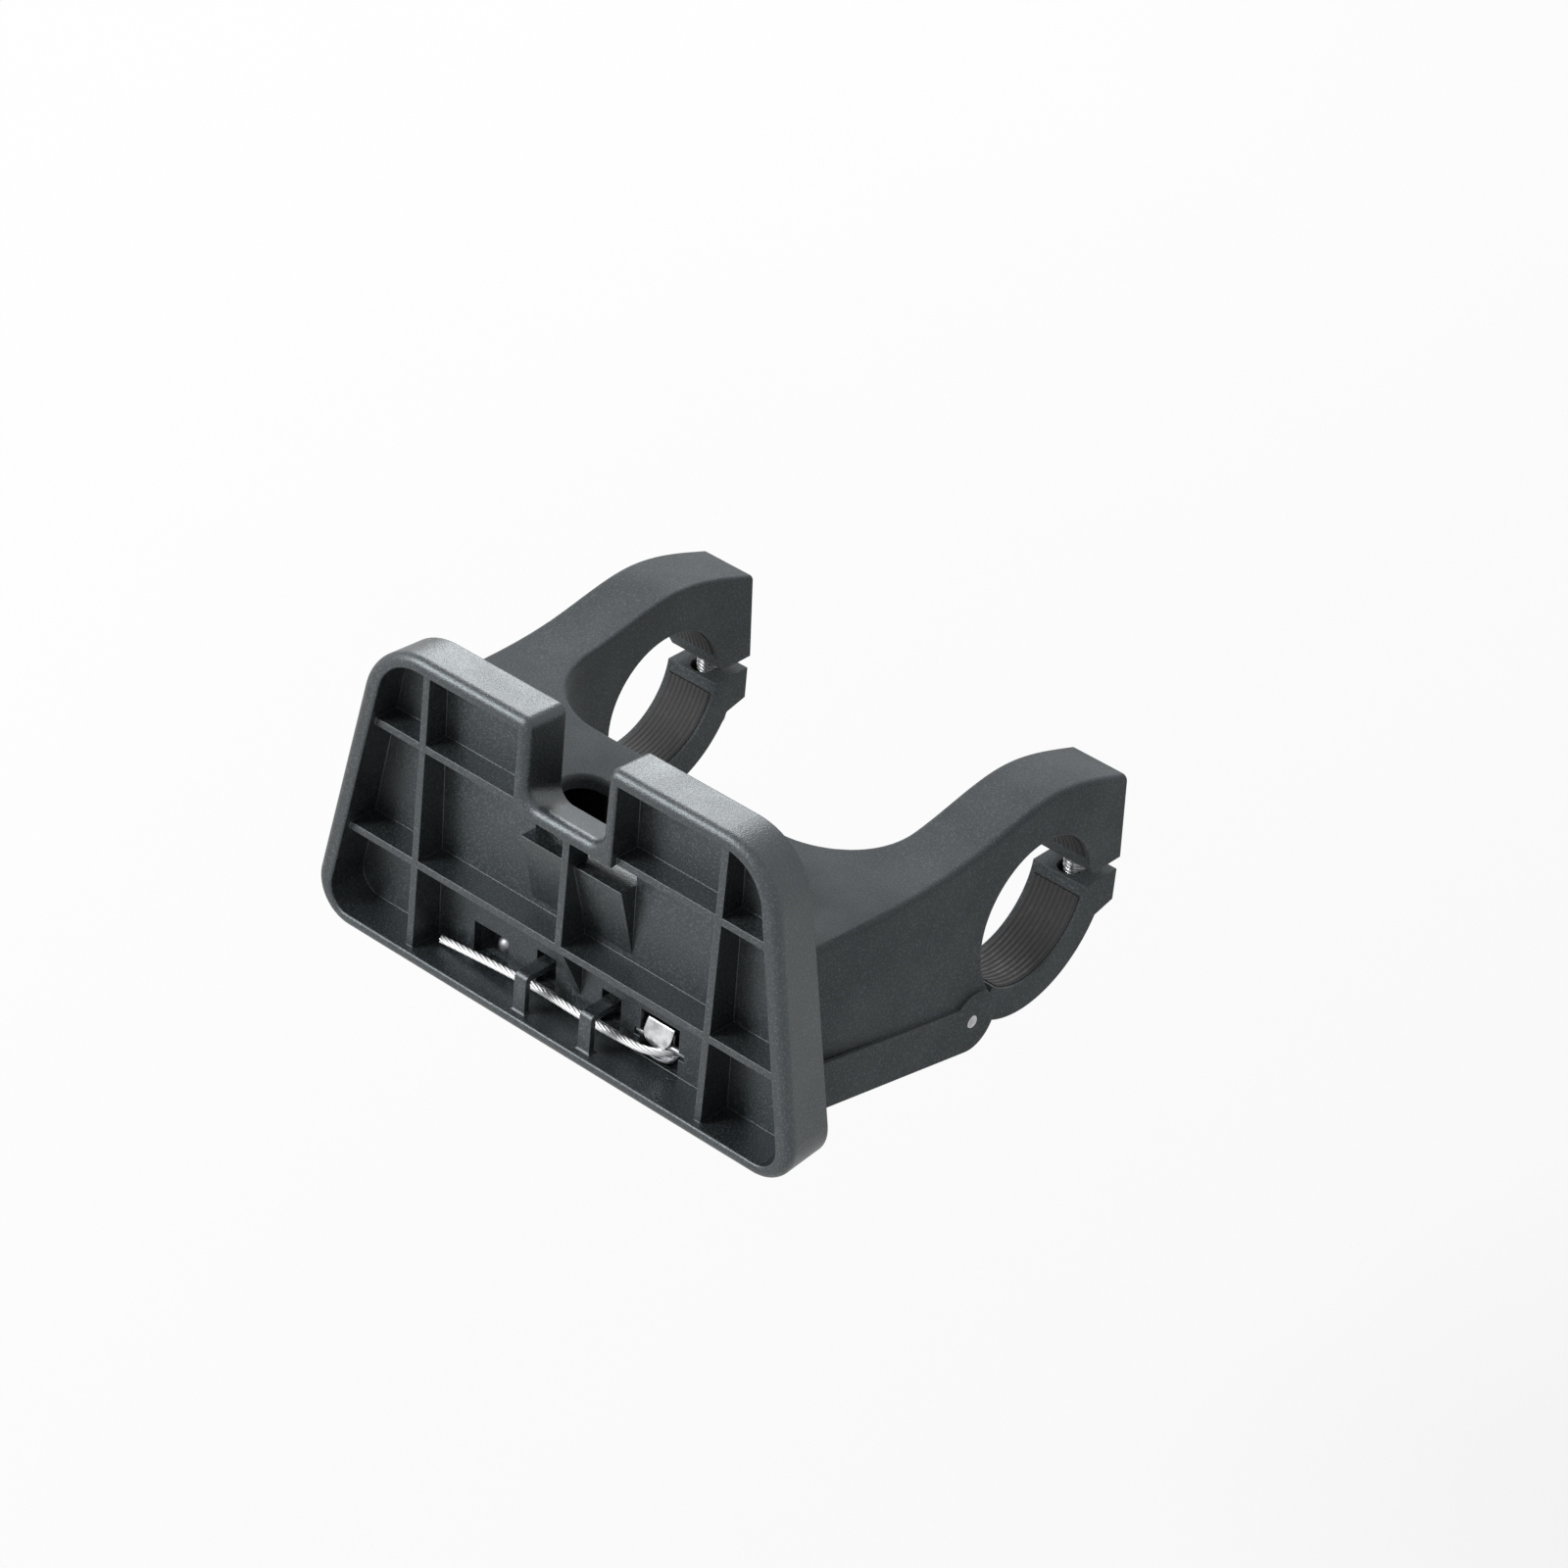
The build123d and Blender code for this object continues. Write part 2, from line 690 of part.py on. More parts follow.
    # Rubber liners of the upper and lower halves
    with BuildPart() as upper_liner:
        with BuildSketch(Plane.YZ.offset(centre_x - arm_w / 2 + liner_edge)):
            with BuildLine():
                ring_sector(half_bar, half_bar + liner_t, upper_liner_start_deg, upper_liner_end_deg)
            make_face()
        extrude(amount=arm_w - 2 * liner_edge)
    upper_liner.part.label = name + "_upper_liner"
    export_step(upper_liner.part, "parts/" + name + "_upper_liner.step")
    with BuildPart() as lower_liner:
        with BuildSketch(Plane.YZ.offset(centre_x - arm_w / 2 + liner_edge)):
            with BuildLine():
                ring_sector(half_bar, half_bar + liner_t, lower_liner_start_deg, lower_liner_end_deg)
            make_face()
        extrude(amount=arm_w - 2 * liner_edge)
    lower_liner.part.label = name + "_lower_liner"
    export_step(lower_liner.part, "parts/" + name + "_lower_liner.step")

# Ball crimped on the cable's anchored end, resting on the pocket's back wall
ball_y = -reach + ball_pocket_depth - ball_d / 2 + 0.3
with BuildPart() as ball:
    with Locations((ball_x, ball_y, -plate_drop + ball_h)):
        Sphere(ball_d / 2)
    pocket_back = Plane(origin=(0, -reach + ball_pocket_depth, 0), z_dir=(0, 1, 0))
    split(bisect_by=pocket_back, keep=Keep.BOTTOM)
ball.part.label = "cable_ball_end"
export_step(ball.part, "parts/cable_ball_end.step")

# Steel cable: from the ball, back in a loop, in through the clip and along the hooks
cable_mid_x = (ball_x + cable_return_x) / 2
cable_wall_y = cutout_front_y - box_wall / 2
cable_points = [
    (ball_x, -reach + ball_pocket_depth, -plate_drop + ball_h),
    (ball_x, -50.0, -plate_drop + 5.0),
    (ball_x - 0.1, cable_wall_y, -plate_drop + 5.2),
    (ball_x - 1.2, -32.0, -plate_drop + 5.0),
    (cable_mid_x - 15.3, cable_loop_y - 2.5, -plate_drop + 4.8),
    (cable_mid_x, cable_loop_y, -plate_drop + 4.7),
    (cable_mid_x + 15.3, cable_loop_y - 2.5, -plate_drop + 4.8),
    (cable_return_x + 1.2, -32.0, -plate_drop + 5.0),
    (cable_return_x + 0.1, cable_wall_y, -plate_drop + 5.2),
    (cable_return_x, -52.0, -plate_drop + 5.0),
    (cable_return_x, -reach - cable_front_depth, -plate_drop + 5.3),
    (hook_x, -reach - cable_front_depth, -plate_drop + 4.8),
    (-hook_x, -reach - cable_front_depth + 0.2, -plate_drop + 5.3),
    (-21.0, -reach - cable_front_depth - 0.1, -plate_drop + 4.7),
    (-34.0, -reach - cable_front_depth, -plate_drop + 3.4),
]
cable_radii = []
for before, corner, after in zip(cable_points, cable_points[1:], cable_points[2:]):
    arriving = Vector(*corner) - Vector(*before)
    leaving = Vector(*after) - Vector(*corner)
    half_turn = radians(arriving.get_angle(leaving)) / 2
    cable_radii.append(0.45 * min(arriving.length, leaving.length) / tan(half_turn))
cable_radii[9] = cable_turn_r
print("cable radii", [round(r, 1) for r in cable_radii])
with BuildPart() as cable:
    with BuildLine() as cable_line:
        FilletPolyline(*cable_points, radius=cable_radii)
    cable_start = Vector(*cable_points[1]) - Vector(*cable_points[0])
    with BuildSketch(Plane(origin=cable_points[0], z_dir=cable_start)):
        Circle(cable_d / 2)
    sweep()
cable_l = cable_line.wires()[0].length
cable_volume = pi * cable_d**2 / 4 * cable_l
print("cable length", round(cable_l, 1), "volume share", cable.part.volume / cable_volume)
cable.part.label = "steel_cable"
export_step(cable.part, "parts/steel_cable.step")

# Clip: a folded spring strip that pinches its pin, with a lobe over the cable
# and a lip curled under it
fold_r = (clip_pin_d + clip_t) / 2
fold_h = 10.1
curl_r = 1.8
curl_depth = -0.15
curl_h = 4.65
lip_depth = 1.7
lobe_low_h = 6.0
with BuildPart() as clip:
    with BuildSketch(Plane.YZ.offset(clip_x - clip_w / 2)):
        with BuildLine():
            Polyline(
                yz(clip_pin_depth + fold_r + 0.35, lobe_low_h),
                yz(clip_pin_depth + fold_r, clip_pin_h + 0.4),
                yz(clip_pin_depth + fold_r, fold_h),
            )
            ThreePointArc(
                yz(clip_pin_depth + fold_r, fold_h),
                yz(clip_pin_depth, fold_h + fold_r),
                yz(clip_pin_depth - fold_r, fold_h),
            )
            Polyline(
                yz(clip_pin_depth - fold_r, fold_h),
                yz(clip_pin_depth - fold_r, clip_pin_h - 0.4),
                yz(curl_depth - curl_r, curl_h + 0.6),
                yz(curl_depth - curl_r, curl_h),
            )
            RadiusArc(
                yz(curl_depth - curl_r, curl_h),
                yz(curl_depth, curl_h - curl_r),
                curl_r,
            )
            Line(yz(curl_depth, curl_h - curl_r), yz(lip_depth, curl_h - curl_r))
        trace(line_width=clip_t)
    extrude(amount=clip_w)
    corners = edges().filter_by(lambda e: abs(e.length - clip_t) < 0.01)
    corners = corners.filter_by(lambda e: abs(abs(e.center().X - clip_x) - clip_w / 2) < 0.01)
    fillet(corners.filter_by(lambda e: abs(e.center().Z + plate_drop - lobe_low_h) < 0.1), clip_lobe_r)
    corners = edges().filter_by(lambda e: abs(e.center().Y + reach + lip_depth) < 0.01)
    fillet(corners.filter_by(lambda e: abs(e.length - clip_t) < 0.01), clip_lip_r)
clip.part.label = "cable_clip"
export_step(clip.part, "parts/cable_clip.step")

# Pin that the clip is snapped on, its ends in notches beside the window
with BuildPart() as clip_pin:
    pin_x = (clip_window[0] + clip_window[1]) / 2
    with Locations((pin_x, -reach - clip_pin_depth, -plate_drop + clip_pin_h)):
        Cylinder(
            clip_pin_d / 2,
            clip_window[1] - clip_window[0] + 2 * clip_pin_end - 0.2,
            rotation=(0, 90, 0),
        )
clip_pin.part.label = "clip_pin"
export_step(clip_pin.part, "parts/clip_pin.step")
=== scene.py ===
"""The bag mount's looks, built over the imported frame, in metres and in the frame's own axes."""

import logging
import math
from dataclasses import dataclass, field
from enum import Enum

import bmesh
import bpy
from mathutils import Matrix, Vector


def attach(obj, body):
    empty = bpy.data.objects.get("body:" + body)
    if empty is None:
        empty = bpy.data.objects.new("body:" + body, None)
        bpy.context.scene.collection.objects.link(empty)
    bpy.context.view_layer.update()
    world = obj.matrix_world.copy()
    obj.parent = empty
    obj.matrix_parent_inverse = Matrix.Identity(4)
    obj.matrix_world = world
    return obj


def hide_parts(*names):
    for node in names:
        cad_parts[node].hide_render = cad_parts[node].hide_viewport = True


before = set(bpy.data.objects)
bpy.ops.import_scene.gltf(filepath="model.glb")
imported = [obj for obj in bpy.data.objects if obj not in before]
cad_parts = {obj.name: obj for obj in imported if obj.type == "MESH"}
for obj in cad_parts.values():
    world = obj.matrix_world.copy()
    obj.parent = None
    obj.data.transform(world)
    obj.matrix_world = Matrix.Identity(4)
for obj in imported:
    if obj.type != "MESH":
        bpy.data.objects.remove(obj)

log = logging.getLogger("bag_mount")

Point = tuple[float, float, float]
Colour = tuple[float, float, float]
Span = tuple[float, float]

MM = 0.001
WHITE = (1.0, 1.0, 1.0, 1.0)

# Length of one wave of Blender's banded wave texture at a scale of 1
WAVE_LENGTH = 0.314


class Side(Enum):
    """The two arms of the yoke, with the sign of their X."""

    LEFT = -1
    RIGHT = 1

    @property
    def word(self) -> str:
        """The side's name as the nodes spell it."""
        return self.name.lower()


class NodeBoard:
    """The shader nodes of one material, or of the world."""

    def __init__(self, owner: bpy.types.Material | bpy.types.World, output: str) -> None:
        """Clears the owner's nodes and sets its output.

        Args:
            owner: the material or the world.
            output: Blender type of the output node.
        """
        owner.use_nodes = True
        self.owner = owner
        self.tree = owner.node_tree
        self.tree.nodes.clear()
        self.output = self.tree.nodes.new(output)

    @classmethod
    def of_material(cls, name: str) -> "NodeBoard":
        """Starts a new material's board."""
        return cls(bpy.data.materials.new(name), "ShaderNodeOutputMaterial")

    def add(self, kind: str, inputs: dict[str | int, object], **settings: object) -> bpy.types.Node:
        """Adds a node, sets its inputs or links them, and sets its options.

        Args:
            kind: the node's Blender type.
            inputs: values or output sockets by input name or number.
            settings: the node's own options.

        Returns:
            The new node.
        """
        node = self.tree.nodes.new(kind)
        for option, value in settings.items():
            setattr(node, option, value)
        for key, value in inputs.items():
            if isinstance(value, bpy.types.NodeSocket):
                self.tree.links.new(value, node.inputs[key])
            else:
                node.inputs[key].default_value = value
        return node

    def place(self, kind: str) -> bpy.types.NodeSocket:
        """Coordinates of one kind, Object or UV."""
        return self.add("ShaderNodeTexCoord", {}).outputs[kind]

    def noise(
        self,
        grain: float,
        detail: float = 3.0,
        stretch: Point = (1.0, 1.0, 1.0),
    ) -> bpy.types.NodeSocket:
        """Noise in the object's own coordinates.

        Args:
            grain: size of the noise's lumps, in metres.
            detail: octaves of finer noise.
            stretch: scale along each axis.

        Returns:
            The noise's value.
        """
        mapping = self.add("ShaderNodeMapping", {"Vector": self.place("Object"), "Scale": stretch})
        inputs = {"Vector": mapping.outputs[0], "Scale": 1 / grain, "Detail": detail}
        return self.add("ShaderNodeTexNoise", inputs).outputs["Fac"]

    def waves(self, place: bpy.types.NodeSocket, scale: float, direction: str) -> bpy.types.NodeSocket:
        """Even bands, as of ribs or twisted wires.

        Args:
            place: the coordinates that the bands follow.
            scale: the wave texture's scale.
            direction: Blender's name for the way the bands follow each other.

        Returns:
            The bands' value.
        """
        inputs = {"Vector": place, "Scale": scale, "Distortion": 0.0}
        node = self.add("ShaderNodeTexWave", inputs, wave_type="BANDS", bands_direction=direction)
        return node.outputs["Fac"]

    def span(self, value: bpy.types.NodeSocket, band: Span, result: Span) -> bpy.types.NodeSocket:
        """Maps a value from one range to another and holds it there.

        Args:
            value: the socket to map.
            band: the values that become the ends of the result.
            result: what comes out at the band's start and end.

        Returns:
            The mapped value.
        """
        inputs = {
            "Value": value,
            "From Min": band[0],
            "From Max": band[1],
            "To Min": result[0],
            "To Max": result[1],
        }
        return self.add("ShaderNodeMapRange", inputs).outputs[0]

    def combine(self, operation: str, first: object, second: object) -> bpy.types.NodeSocket:
        """Works out one number from two.

        Args:
            operation: Blender's name for the operation.
            first: value or socket.
            second: value or socket.

        Returns:
            The result.
        """
        return self.add("ShaderNodeMath", {0: first, 1: second}, operation=operation).outputs[0]

    def mix(self, share: bpy.types.NodeSocket, first: object, second: object) -> bpy.types.NodeSocket:
        """Mixes two colours.

        Args:
            share: how much of the second shows.
            first: colour or socket.
            second: colour or socket.

        Returns:
            The mixed colour.
        """
        node = self.add("ShaderNodeMix", {0: share}, data_type="RGBA")
        for key, value in ((6, first), (7, second)):
            if isinstance(value, bpy.types.NodeSocket):
                self.tree.links.new(value, node.inputs[key])
            else:
                node.inputs[key].default_value = (*value, 1.0)
        return node.outputs[2]

    def softened_edges(self, radius: float) -> tuple[bpy.types.NodeSocket, bpy.types.NodeSocket]:
        """Rounds the look of sharp edges.

        Args:
            radius: radius of the rounding, in metres.

        Returns:
            The rounded normal, and a mask that is 1 along the edges.
        """
        bevel = self.add("ShaderNodeBevel", {"Radius": radius}, samples=6)
        surface = self.add("ShaderNodeNewGeometry", {})
        inputs = {0: bevel.outputs[0], 1: surface.outputs["Normal"]}
        turned = self.add("ShaderNodeVectorMath", inputs, operation="DOT_PRODUCT")
        return bevel.outputs[0], self.span(turned.outputs["Value"], (0.9, 0.995), (1.0, 0.0))

    def bump(
        self,
        height: bpy.types.NodeSocket,
        depth: float,
        strength: float,
        normal: bpy.types.NodeSocket | None = None,
    ) -> bpy.types.NodeSocket:
        """Turns a height into a bumped normal.

        Args:
            height: the height's socket, from 0 to 1.
            depth: height of the bumps, in metres.
            strength: how much of it shows.
            normal: the normal it starts from, if not the surface's.

        Returns:
            The bumped normal.
        """
        inputs = {"Height": height, "Distance": depth, "Strength": strength}
        if normal is not None:
            inputs["Normal"] = normal
        return self.add("ShaderNodeBump", inputs).outputs[0]

    def finish(self, shader: bpy.types.Node) -> bpy.types.Material | bpy.types.World:
        """Links the last shader to the output and returns the board's owner."""
        self.tree.links.new(shader.outputs[0], self.output.inputs[0])
        return self.owner

    def principled(self, inputs: dict[str | int, object]) -> bpy.types.Material:
        """Ends the board with a principled shader and returns the material."""
        return self.finish(self.add("ShaderNodeBsdfPrincipled", inputs))


@dataclass(frozen=True)
class MouldedPlastic:
    """Black moulded plastic, satin on the bag plate and coarsely grained on the yoke and the jaws, with a
    darker base colour on the yoke and jaws as painted shade and a lighter colour along the edges as
    painted highlight.
    """

    name: str = "grained_black_plastic"
    satin_colour: Colour = (0.0055, 0.0068, 0.0076)
    # Base colour of the yoke and the jaws, darker than the plate's as painted shade
    matte_painted_shade_colour: Colour = (0.0038, 0.0048, 0.0055)
    fleck_colour: Colour = (0.062, 0.072, 0.078)
    # Lighter colour along the edges, in patches: a painted highlight
    light_edge_colour: Colour = (0.090, 0.100, 0.106)
    sheen_tint: Colour = (0.88, 0.96, 1.0)
    gloss: float = 1.0
    satin: float = 0.41
    matte: float = 0.80
    fine_grain: float = 0.00026
    fine_depth: float = 0.0001
    coarse_grain: float = 0.00040
    coarse_depth: float = 0.00012
    bump_strength: float = 0.5
    cloud_grain: float = 0.012
    fleck_band: Span = (0.5, 0.68)
    fleck_share: Span = (0.0, 0.9)
    highlight_patch_band: Span = (0.3, 0.65)
    highlight_patch_share: Span = (0.3, 0.9)
    drift_band: Span = (0.3, 0.7)
    drift: Span = (-0.04, 0.05)
    edge: float = 0.0003
    change_y: Span = (-0.0644, -0.0640)

    def make(self) -> bpy.types.Material:
        """Builds the material."""
        board = NodeBoard.of_material(self.name)
        normal, edges = board.softened_edges(self.edge)
        axes = board.add("ShaderNodeSeparateXYZ", {0: board.place("Object")})
        yoke = board.span(axes.outputs[1], self.change_y, (0.0, 1.0))
        fine = board.noise(self.fine_grain, 1.0)
        coarse = board.noise(self.coarse_grain, 2.0)
        cloud = board.noise(self.cloud_grain, 4.0)
        # Painted shade: behind the plate the base colour turns to the darker yoke colour
        ground = board.mix(yoke, self.satin_colour, self.matte_painted_shade_colour)
        flecks = board.span(coarse, self.fleck_band, self.fleck_share)
        base = board.mix(flecks, ground, self.fleck_colour)
        # Painted highlight: the edges get a lighter colour in cloudy patches
        patches = board.span(cloud, self.highlight_patch_band, self.highlight_patch_share)
        colour = board.mix(board.combine("MULTIPLY", edges, patches), base, self.light_edge_colour)
        texture = board.span(yoke, (0.0, 1.0), (self.satin, self.matte))
        drift = board.span(cloud, self.drift_band, self.drift)
        normal = board.bump(fine, self.fine_depth, self.bump_strength, normal)
        normal = board.bump(coarse, self.coarse_depth, self.bump_strength, normal)
        inputs = {
            "Base Color": colour,
            "Roughness": board.combine("ADD", texture, drift),
            "Normal": normal,
            "Specular IOR Level": self.gloss,
            "Specular Tint": (*self.sheen_tint, 1.0),
        }
        return board.principled(inputs)


@dataclass(frozen=True)
class LinerRubber:
    """Soft black rubber with fine ribs round the bore, a little dusty."""

    name: str = "liner_rubber"
    colour: Colour = (0.018, 0.018, 0.018)
    dust_colour: Colour = (0.06, 0.06, 0.058)
    dust_grain: float = 0.0015
    rib: float = 0.0011
    rib_depth: float = 0.00025
    grain: float = 0.0003
    grain_depth: float = 0.00005
    roughness: Span = (0.62, 0.8)

    def make(self) -> bpy.types.Material:
        """Builds the material."""
        board = NodeBoard.of_material(self.name)
        ribs = board.waves(board.place("Object"), WAVE_LENGTH / self.rib, "X")
        dust = board.noise(self.dust_grain, 5.0)
        normal = board.bump(ribs, self.rib_depth, 0.5)
        normal = board.bump(board.noise(self.grain, 2.0), self.grain_depth, 0.4, normal)
        dusty = board.span(dust, (0.45, 0.75), (0.0, 0.5))
        inputs = {
            "Base Color": board.mix(dusty, self.colour, self.dust_colour),
            "Roughness": board.span(dust, (0.3, 0.7), self.roughness),
            "Normal": normal,
        }
        return board.principled(inputs)


@dataclass(frozen=True)
class PlatedSteel:
    """Zinc-plated steel with turning marks and dull patches."""

    name: str = "zinc_steel"
    colour: Colour = (0.50, 0.505, 0.52)
    dull_colour: Colour = (0.30, 0.305, 0.32)
    # Lighter colour along the edges
    light_edge_colour: Colour = (0.74, 0.745, 0.75)
    roughness: Span = (0.24, 0.44)
    patch_grain: float = 0.002
    mark_grain: float = 0.00012
    mark_stretch: Point = (1.0, 1.0, 0.08)
    mark_depth: float = 0.00002
    edge: float = 0.00015

    def make(self) -> bpy.types.Material:
        """Builds the material."""
        board = NodeBoard.of_material(self.name)
        normal, edges = board.softened_edges(self.edge)
        patches = board.noise(self.patch_grain, 5.0)
        marks = board.noise(self.mark_grain, 2.0, self.mark_stretch)
        dull = board.span(patches, (0.4, 0.65), (0.0, 0.8))
        worn = board.mix(dull, self.colour, self.dull_colour)
        # The base colour goes lighter along the edges
        inputs = {
            "Base Color": board.mix(edges, worn, self.light_edge_colour),
            "Roughness": board.span(patches, (0.3, 0.7), self.roughness),
            "Normal": board.bump(marks, self.mark_depth, 0.25, normal),
            "Metallic": 1.0,
        }
        return board.principled(inputs)


@dataclass(frozen=True)
class PolishedSteel:
    """Bright rolled steel with a grey haze and hairline scratches."""

    name: str = "polished_steel"
    colour: Colour = (0.66, 0.67, 0.68)
    haze_colour: Colour = (0.30, 0.305, 0.32)
    roughness: Span = (0.26, 0.38)
    haze_grain: float = 0.0024
    hairline_grain: float = 0.0004
    hairline_stretch: Point = (0.15, 1.0, 2.5)
    hairline_depth: float = 0.00001
    edge: float = 0.00012

    def make(self) -> bpy.types.Material:
        """Builds the material."""
        board = NodeBoard.of_material(self.name)
        normal, _ = board.softened_edges(self.edge)
        hairlines = board.noise(self.hairline_grain, 2.0, self.hairline_stretch)
        haze = board.noise(self.haze_grain, 3.0)
        hazy = board.span(haze, (0.4, 0.6), (0.0, 0.8))
        inputs = {
            "Base Color": board.mix(hazy, self.colour, self.haze_colour),
            "Roughness": board.span(haze, (0.3, 0.7), self.roughness),
            "Normal": board.bump(hairlines, self.hairline_depth, 0.2, normal),
            "Metallic": 1.0,
        }
        return board.principled(inputs)


@dataclass(frozen=True)
class BallSteel:
    """Tumbled grey steel with small dents, duller than the clip's."""

    name: str = "tumbled_ball_steel"
    colour: Colour = (0.30, 0.31, 0.325)
    haze_colour: Colour = (0.12, 0.124, 0.13)
    roughness: Span = (0.36, 0.54)
    haze_grain: float = 0.0015
    dent_grain: float = 0.0007
    dent_depth: float = 0.00004

    def make(self) -> bpy.types.Material:
        """Builds the material."""
        board = NodeBoard.of_material(self.name)
        dents = board.noise(self.dent_grain, 3.0)
        haze = board.noise(self.haze_grain, 4.0)
        hazy = board.span(haze, (0.4, 0.7), (0.0, 0.6))
        inputs = {
            "Base Color": board.mix(hazy, self.colour, self.haze_colour),
            "Roughness": board.span(dents, (0.3, 0.7), self.roughness),
            "Normal": board.bump(dents, self.dent_depth, 0.5),
            "Metallic": 1.0,
        }
        return board.principled(inputs)


@dataclass(frozen=True)
class DrawnWire:
    """Bright drawn steel wire, each strand twisted from finer wires, under a thin clear coat, with
    painted shade in the grooves between the wires.
    """

    name: str = "drawn_wire"
    colour: Colour = (0.88, 0.885, 0.89)
    # Darker colour in the grooves between the wires: painted shade
    groove_shade_colour: Colour = (0.5, 0.505, 0.51)
    groove_depth: float = 0.00002
    grime_grain: float = 0.0008
    roughness: Span = (0.40, 0.54)
    metal: float = 0.6
    coat: float = 0.4
    coat_roughness: float = 0.15
    wires: int = 6

    def make(self) -> bpy.types.Material:
        """Builds the material."""
        board = NodeBoard.of_material(self.name)
        twist = board.waves(board.place("UV"), self.wires * WAVE_LENGTH, "DIAGONAL")
        grime = board.noise(self.grime_grain, 3.0)
        # Painted shade: the base colour darkens in the grooves between the twisted wires
        painted_groove_shade = board.span(twist, (0.0, 0.2), (0.15, 0.0))
        inputs = {
            "Base Color": board.mix(painted_groove_shade, self.colour, self.groove_shade_colour),
            "Roughness": board.span(grime, (0.3, 0.7), self.roughness),
            "Normal": board.bump(twist, self.groove_depth, 0.2),
            "Metallic": self.metal,
            "Coat Weight": self.coat,
            "Coat Roughness": self.coat_roughness,
        }
        return board.principled(inputs)


def dress(node: str, material: bpy.types.Material) -> None:
    """Gives a node of the frame its finish.

    Args:
        node: the node's name.
        material: the finish.
    """
    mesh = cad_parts[node].data
    mesh.materials.clear()
    mesh.materials.append(material)


def new_piece(
    name: str,
    mesh: bpy.types.Mesh,
    body: str,
    material: bpy.types.Material,
) -> bpy.types.Object:
    """Makes an object of a finished mesh, and ties it to its body.

    Args:
        name: the piece's name.
        mesh: its mesh, already in place.
        body: the body that it rides on.
        material: its finish.

    Returns:
        The new object.
    """
    piece = bpy.data.objects.new(name, mesh)
    bpy.context.scene.collection.objects.link(piece)
    mesh.materials.clear()
    mesh.materials.append(material)
    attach(piece, body)
    return piece


def curve_mesh(curve: bpy.types.Curve) -> bpy.types.Mesh:
    """Turns a curve into a mesh and removes the curve.

    Args:
        curve: the curve, with its splines set.

    Returns:
        The curve's mesh.
    """
    carrier = bpy.data.objects.new(curve.name, curve)
    bpy.context.scene.collection.objects.link(carrier)
    graph = bpy.context.evaluated_depsgraph_get()
    mesh = bpy.data.meshes.new_from_object(carrier.evaluated_get(graph))
    bpy.data.objects.remove(carrier)
    bpy.data.curves.remove(curve)
    return mesh


def smooth_line(name: str, route: list[Point], steps: int) -> list[Vector]:
    """Reads points off a smooth line.

    Args:
        name: name of the line while it is read.
        route: the line's control points.
        steps: points read for each control point.

    Returns:
        The points in order.
    """
    curve = bpy.data.curves.new(name, "CURVE")
    curve.dimensions = "3D"
    spline = curve.splines.new("NURBS")
    spline.points.add(len(route) - 1)
    for point, place in zip(spline.points, route):
        point.co = (*place, 1.0)
    spline.order_u = 3
    spline.use_endpoint_u = True
    spline.resolution_u = steps
    mesh = curve_mesh(curve)
    points = [vertex.co.copy() for vertex in mesh.vertices]
    bpy.data.meshes.remove(mesh)
    return points


@dataclass
class Viewpoint:
    """The camera, at the photograph's place and angle."""

    place: Point = (0.49924, -0.64311, 0.54045)
    turn: float = math.radians(38.3)
    rise: float = math.radians(33.53)
    roll: float = math.radians(5.59)
    lens: float = 116.33
    sensor_width: float = 36.0

    def make(self) -> None:
        """Puts up the camera and makes it the scene's own."""
        camera = bpy.data.cameras.new("camera")
        camera.lens = self.lens
        camera.sensor_width = self.sensor_width
        camera.sensor_fit = "HORIZONTAL"
        camera.dof.use_dof = False
        back = Vector(
            (
                math.sin(self.turn) * math.cos(self.rise),
                -math.cos(self.turn) * math.cos(self.rise),
                math.sin(self.rise),
            )
        )
        level = Vector((0.0, 0.0, 1.0)).cross(back).normalized()
        above = back.cross(level)
        right = level * math.cos(self.roll) + above * math.sin(self.roll)
        up = above * math.cos(self.roll) - level * math.sin(self.roll)
        stand = bpy.data.objects.new("camera", camera)
        turned = Matrix((right, up, back)).transposed().to_4x4()
        stand.matrix_world = Matrix.Translation(self.place) @ turned
        bpy.context.scene.collection.objects.link(stand)
        bpy.context.scene.camera = stand


